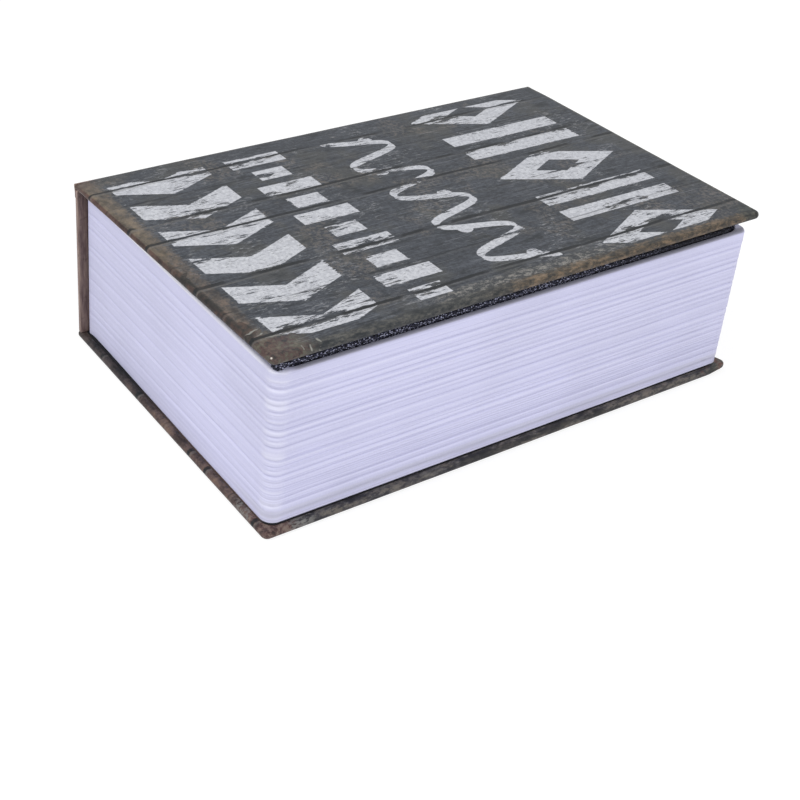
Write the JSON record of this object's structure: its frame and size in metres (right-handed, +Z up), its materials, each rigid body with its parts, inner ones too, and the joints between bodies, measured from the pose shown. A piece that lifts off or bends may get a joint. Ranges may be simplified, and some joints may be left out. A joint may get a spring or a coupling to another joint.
{
  "type": "book diversion safe",
  "caption": "Small key-locked steel box hidden in a hardback book case, with a ribbed page shell, hinged cover and lid, cam lock and keys.",
  "frame": {"origin": "middle of the underside of the back cover, on which the closed book lies", "axes": "+X from the spine to the fore-edge, +Y from the tail to the head along the spine, +Z up through the front cover"},
  "size_m": [0.1156, 0.18, 0.0589],
  "materials": {
    "greyboard": "raw greyboard",
    "printed_cover": "weathered plank print, matt film",
    "black_lining": "black grained leatherette",
    "black_liner": "black endpaper",
    "page_plastic": "cool white, ribbed",
    "painted_steel": "wrinkle powder coat",
    "zinc_steel": "zinc plated",
    "lock_chrome": "polished chrome plate",
    "key_plastic": "moulded, satin",
    "key_nickel": "worn nickel",
    "ring_steel": "bright nickel"
  },
  "bodies": {
    "base": {"spine_board": "greyboard", "spine_wrap": "printed_cover", "back_board": "greyboard", "back_wrap": "printed_cover", "back_liner": "black_liner", "page_shell": "page_plastic", "tray": "painted_steel", "hinge_pin": "zinc_steel", "tray_rivet_1": "zinc_steel", "tray_rivet_2": "zinc_steel", "tray_rivet_3": "zinc_steel", "tray_rivet_4": "zinc_steel", "lock_keeper": "zinc_steel", "key_1_bow": "key_plastic", "key_1_blade": "key_nickel", "key_2_bow": "key_plastic", "key_2_blade": "key_nickel", "split_ring": "ring_steel"},
    "front_cover": {"front_board": "greyboard", "front_wrap": "printed_cover", "front_lining": "black_lining"},
    "lid": {"lid": "painted_steel", "lock_body": "lock_chrome", "lock_washer": "zinc_steel", "lock_nut": "zinc_steel"},
    "lock_core": {"lock_plug": "lock_chrome", "lock_cam": "zinc_steel", "cam_screw": "zinc_steel"}
  },
  "joints": [
    {"name": "cover_hinge", "type": "hinge", "parent": "base", "child": "front_cover", "pos_m": [-0.05775, 0, 0.0532], "axis": [0, -1, 0], "range_deg": [0, 180]},
    {"name": "lid_hinge", "type": "hinge", "parent": "base", "child": "lid", "pos_m": [-0.04945, 0, 0.04425], "axis": [0, -1, 0], "range_deg": [0, 95]},
    {"name": "lock_turn", "type": "hinge", "parent": "lid", "child": "lock_core", "pos_m": [0.0312, 0, 0.0465], "axis": [0, 0, 1], "range_deg": [0, 90]}
  ],
  "couplings": [
    {"joint": "lid_hinge", "follows": "cover_hinge", "ratio": 0.5277}
  ]
}
